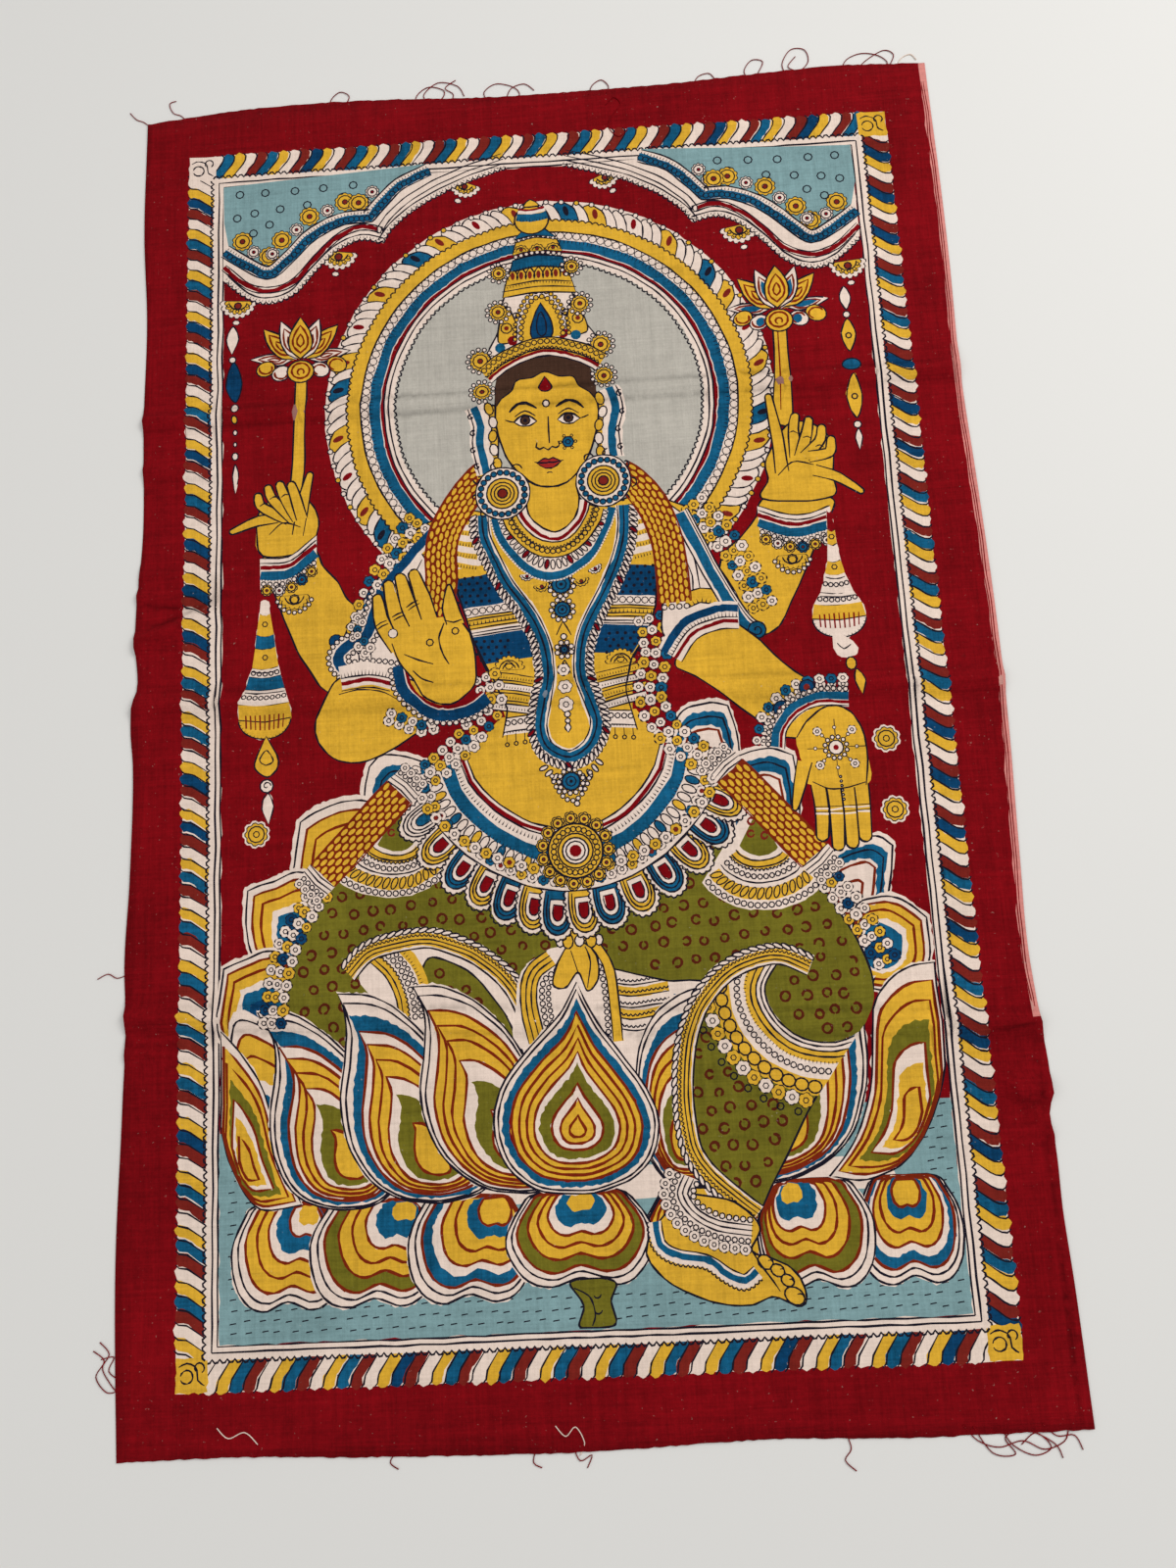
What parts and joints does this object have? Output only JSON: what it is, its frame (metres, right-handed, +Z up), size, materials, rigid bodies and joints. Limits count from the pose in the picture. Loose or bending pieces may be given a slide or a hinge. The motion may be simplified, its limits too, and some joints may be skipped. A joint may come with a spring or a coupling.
{
  "type": "kalamkari panel",
  "caption": "Hand-painted cotton panel with a haloed seated figure on a lotus inside a rope border, lying flat with low storage folds; hung on a wall or laid as a cover.",
  "frame": {"origin": "centre of the cloth's box, on the surface it lies on", "axes": "+X along the width to the picture's right, +Y along the length to the picture's top, +Z up out of the painted face"},
  "size_m": [0.586, 0.929, 0.0068],
  "materials": {
    "painted_cotton": "matt plain-woven cotton, hand-painted with vegetable dyes: madder red ground, mustard, indigo blue, sky blue, olive, grey, cream and black ink"
  },
  "bodies": {
    "root": {"panel_cloth": "painted_cotton"}
  },
  "joints": []
}
